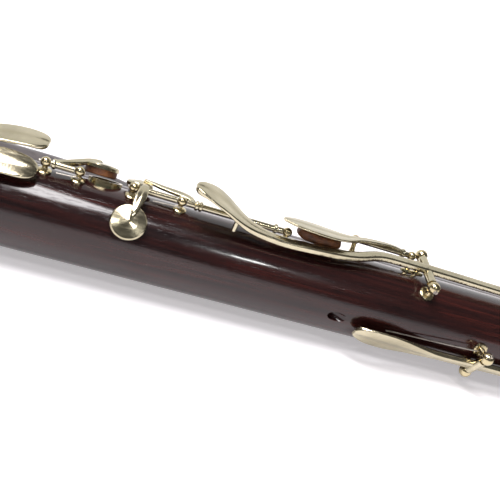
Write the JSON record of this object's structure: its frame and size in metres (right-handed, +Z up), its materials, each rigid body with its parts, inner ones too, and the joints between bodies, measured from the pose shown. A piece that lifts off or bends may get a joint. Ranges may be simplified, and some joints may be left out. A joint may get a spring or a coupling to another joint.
{
  "type": "bassoon",
  "caption": "Rosewood bassoon lying on its side, with nickel-silver keywork on turned ball posts, leather pads, a bent crook and a double reed.",
  "frame": {"origin": "middle of the bounding box in plan, at the plane it lies on", "axes": "+X runs along the bassoon from the boot cap to the bell, +Y goes from the long joint towards the wing joint and the crook, and +Z is up"},
  "size_m": [1.289, 0.3486, 0.062],
  "materials": {
    "rosewood": "gloss",
    "nickel_silver": "polished",
    "brass": "polished",
    "spring_steel": "satin",
    "pad_leather": "satin",
    "cork": "matte",
    "lap_thread": "matte",
    "cane": "satin",
    "binding_thread": "satin"
  },
  "bodies": {
    "instrument": {"bell": "rosewood", "bell_rim_ring": "nickel_silver", "bell_socket_ring": "nickel_silver", "bell_tenon_lap": "lap_thread", "boot_bow_tube": "brass", "boot_cap": "nickel_silver", "boot_cork_plate": "cork", "boot_joint": "rosewood", "boot_posts": "nickel_silver", "boot_rods": "spring_steel", "boot_top_ring": "nickel_silver", "crook": "nickel_silver", "crook_cork": "cork", "long_joint": "rosewood", "long_joint_posts": "nickel_silver", "long_joint_rods": "spring_steel", "long_tenon_lap": "lap_thread", "needle_springs": "spring_steel", "reed_binding": "binding_thread", "reed_blades": "cane", "reed_wires": "brass", "sling_ring": "nickel_silver", "tone_hole_chimney": "nickel_silver", "wing_joint": "rosewood", "wing_posts": "nickel_silver", "wing_rods": "spring_steel", "wing_tenon_lap": "lap_thread", "wing_top_ring": "nickel_silver"},
    "boot_front_key": {"boot_front_key": "nickel_silver", "boot_front_key_pad": "pad_leather"},
    "boot_low_key": {"boot_low_key": "nickel_silver", "boot_low_key_pad": "pad_leather"},
    "boot_thumb_key": {"boot_thumb_key": "nickel_silver", "boot_thumb_key_pad": "pad_leather"},
    "flat_touch_key": {"flat_touch_key": "nickel_silver", "flat_touch_key_pad": "pad_leather"},
    "front_lever": {"front_lever": "nickel_silver", "front_lever_pad": "pad_leather"},
    "long_rod_key": {"long_rod_key": "nickel_silver", "long_rod_key_pad": "pad_leather"},
    "lower_plate_lever": {"lower_plate_lever": "nickel_silver", "lower_plate_lever_pad": "pad_leather"},
    "open_key": {"open_key": "nickel_silver", "open_key_pad": "pad_leather"},
    "round_side_key": {"round_side_key": "nickel_silver", "round_side_key_pad": "pad_leather"},
    "thumb_lever": {"thumb_lever": "nickel_silver", "thumb_lever_pad": "pad_leather"},
    "upper_plate_lever": {"upper_plate_lever": "nickel_silver", "upper_plate_lever_pad": "pad_leather"},
    "wing_side_key": {"wing_side_key": "nickel_silver", "wing_side_key_pad": "pad_leather"},
    "wing_upper_key": {"wing_upper_key": "nickel_silver", "wing_upper_key_pad": "pad_leather"}
  },
  "joints": [
    {"name": "boot_front_key_hinge", "type": "hinge", "parent": "instrument", "child": "boot_front_key", "pos_m": [-0.4545, -0.16643, 0.03303], "axis": [0, -0.342, -0.9397], "range_deg": [0, 2.2], "stiffness_Nm_per_rad": 0.06, "springref_deg": -20.05},
    {"name": "boot_low_key_hinge", "type": "hinge", "parent": "instrument", "child": "boot_low_key", "pos_m": [-0.4145, -0.14438, 0.05026], "axis": [0, 0.9945, 0.1045], "range_deg": [0, 2.2], "stiffness_Nm_per_rad": 0.06, "springref_deg": -20.05},
    {"name": "boot_thumb_key_hinge", "type": "hinge", "parent": "instrument", "child": "boot_thumb_key", "pos_m": [-0.2665, -0.16185, 0.04097], "axis": [0, -0.6428, -0.766], "range_deg": [0, 2.2], "stiffness_Nm_per_rad": 0.06, "springref_deg": -20.05},
    {"name": "flat_touch_key_hinge", "type": "hinge", "parent": "instrument", "child": "flat_touch_key", "pos_m": [0.0775, -0.13607, 0.05012], "axis": [1, 0, 0], "range_deg": [0, 8], "stiffness_Nm_per_rad": 0.02, "springref_deg": -20.05},
    {"name": "front_lever_hinge", "type": "hinge", "parent": "instrument", "child": "front_lever", "pos_m": [0.1329, -0.15982, 0.01077], "axis": [0, 0.5878, -0.809], "range_deg": [0, 1.2], "stiffness_Nm_per_rad": 0.06, "springref_deg": -20.05},
    {"name": "long_rod_key_hinge", "type": "hinge", "parent": "instrument", "child": "long_rod_key", "pos_m": [0.0025, -0.1457, 0.04714], "axis": [1, 0, 0], "range_deg": [0, 8], "stiffness_Nm_per_rad": 0.02, "springref_deg": -20.05},
    {"name": "lower_plate_lever_hinge", "type": "hinge", "parent": "instrument", "child": "lower_plate_lever", "pos_m": [-0.1445, -0.15476, 0.04276], "axis": [0, 0.8192, 0.5736], "range_deg": [0, 2.2], "stiffness_Nm_per_rad": 0.06, "springref_deg": -20.05},
    {"name": "open_key_hinge", "type": "hinge", "parent": "instrument", "child": "open_key", "pos_m": [-0.0725, -0.1457, 0.04714], "axis": [-1, 0, 0], "range_deg": [0, 2.2], "stiffness_Nm_per_rad": 0.06, "springref_deg": -20.05},
    {"name": "round_side_key_hinge", "type": "hinge", "parent": "instrument", "child": "round_side_key", "pos_m": [-0.0325, -0.1457, 0.04714], "axis": [-1, 0, 0], "range_deg": [0, 8], "stiffness_Nm_per_rad": 0.02, "springref_deg": -20.05},
    {"name": "thumb_lever_hinge", "type": "hinge", "parent": "instrument", "child": "thumb_lever", "pos_m": [0.0991, -0.14818, 0.04688], "axis": [0, -0.9613, -0.2756], "range_deg": [0, 1.3], "stiffness_Nm_per_rad": 0.06, "springref_deg": -20.05},
    {"name": "upper_plate_lever_hinge", "type": "hinge", "parent": "instrument", "child": "upper_plate_lever", "pos_m": [-0.1345, -0.14768, 0.0466], "axis": [0, 0.9659, 0.2588], "range_deg": [0, 2.2], "stiffness_Nm_per_rad": 0.06, "springref_deg": -20.05},
    {"name": "wing_side_key_hinge", "type": "hinge", "parent": "instrument", "child": "wing_side_key", "pos_m": [0.1675, -0.08836, 0.02446], "axis": [0, -0.342, 0.9397], "range_deg": [0, 2.2], "stiffness_Nm_per_rad": 0.06, "springref_deg": -20.05},
    {"name": "wing_upper_key_hinge", "type": "hinge", "parent": "instrument", "child": "wing_upper_key", "pos_m": [0.2295, -0.10448, 0.03683], "axis": [0, -0.9962, 0.0872], "range_deg": [0, 2.2], "stiffness_Nm_per_rad": 0.06, "springref_deg": -20.05}
  ]
}
